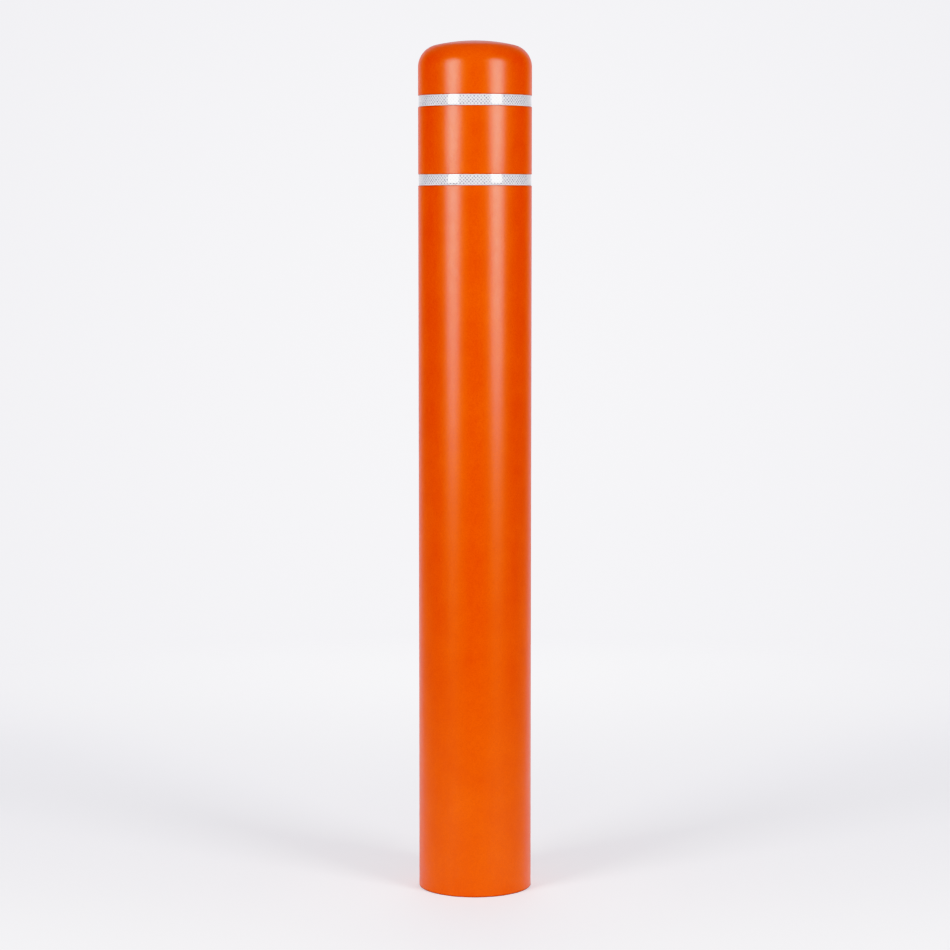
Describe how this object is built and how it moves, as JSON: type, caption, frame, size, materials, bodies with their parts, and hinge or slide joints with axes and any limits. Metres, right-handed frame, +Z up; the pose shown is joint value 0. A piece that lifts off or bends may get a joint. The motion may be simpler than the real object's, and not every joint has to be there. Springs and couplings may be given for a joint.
{
  "type": "delineator post",
  "caption": "Orange domed tubular delineator post sleeve with recessed reflective bands, standing over a short bolt-down steel spigot padded with foam strips; the sleeve lifts off.",
  "frame": {"origin": "centre of the foot, on the floor", "axes": "+Z up along the post's axis; the laps of the reflective tape are at the back, towards +Y"},
  "size_m": [0.203, 0.2032, 1.524],
  "materials": {
    "orange_polyethylene": "satin",
    "reflective_tape": "gloss",
    "galvanised_steel": "satin",
    "weld_metal": "matte",
    "pad_rubber": "matte",
    "closed_cell_foam": "matte"
  },
  "bodies": {
    "spigot": {"floor_pad": "pad_rubber", "base_plate": "galvanised_steel", "spigot_pipe": "galvanised_steel", "base_weld": "weld_metal", "lower_foam_strip_1": "closed_cell_foam", "lower_foam_strip_2": "closed_cell_foam", "lower_foam_strip_3": "closed_cell_foam", "lower_foam_strip_4": "closed_cell_foam", "upper_foam_strip_1": "closed_cell_foam", "upper_foam_strip_2": "closed_cell_foam", "upper_foam_strip_3": "closed_cell_foam", "upper_foam_strip_4": "closed_cell_foam"},
    "sleeve": {"sleeve": "orange_polyethylene", "upper_reflective_band": "reflective_tape", "lower_reflective_band": "reflective_tape"}
  },
  "joints": [
    {"name": "sleeve_lift", "type": "slide", "parent": "spigot", "child": "sleeve", "axis": [0, 0, 1], "range_m": [0, 0.41]}
  ]
}
